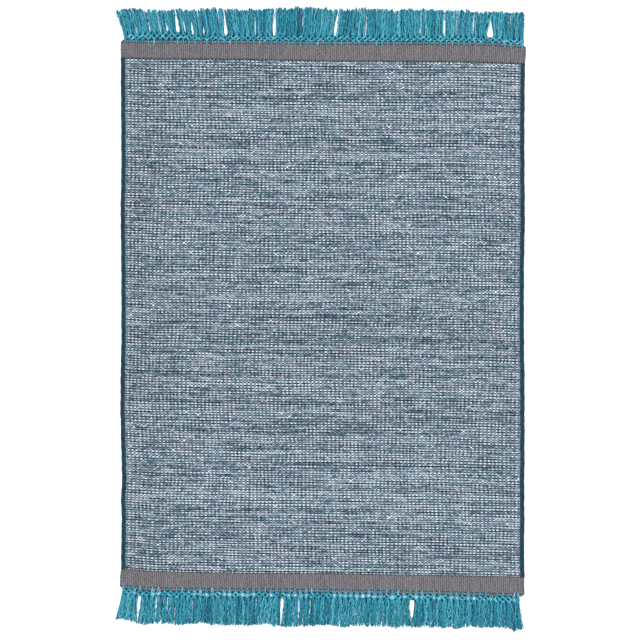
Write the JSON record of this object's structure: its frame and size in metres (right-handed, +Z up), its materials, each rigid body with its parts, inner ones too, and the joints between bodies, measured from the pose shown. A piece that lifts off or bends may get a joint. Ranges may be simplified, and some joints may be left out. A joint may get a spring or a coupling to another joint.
{
  "type": "flat-woven wool rug with knotted fringe",
  "caption": "Flat-woven wool rug in melange grey-blue with plain grey end bands, wrapped teal side cords and a knotted turquoise fringe at both ends.",
  "frame": {"origin": "centre of the rug on the floor it lies on", "axes": "+Z up from the floor, +Y along the rug's length towards its head end, +X across it to the right"},
  "size_m": [1.2132, 1.8512, 0.008],
  "materials": {
    "melange_wool": "weft-faced plain weave in space-dyed wool, white to blue-grey to dark teal, with plain grey ribbed bands at the ends",
    "teal_binding_yarn": "dark teal wool yarn wrapped closely round the side cords",
    "turquoise_fringe_yarn": "soft twisted turquoise yarn, hooked through the hem, knotted into a net and left loose at the ends"
  },
  "bodies": {
    "root": {"woven_cloth": "melange_wool", "binding_left": "teal_binding_yarn", "binding_right": "teal_binding_yarn", "fringe_head": "turquoise_fringe_yarn", "fringe_foot": "turquoise_fringe_yarn"}
  },
  "joints": []
}
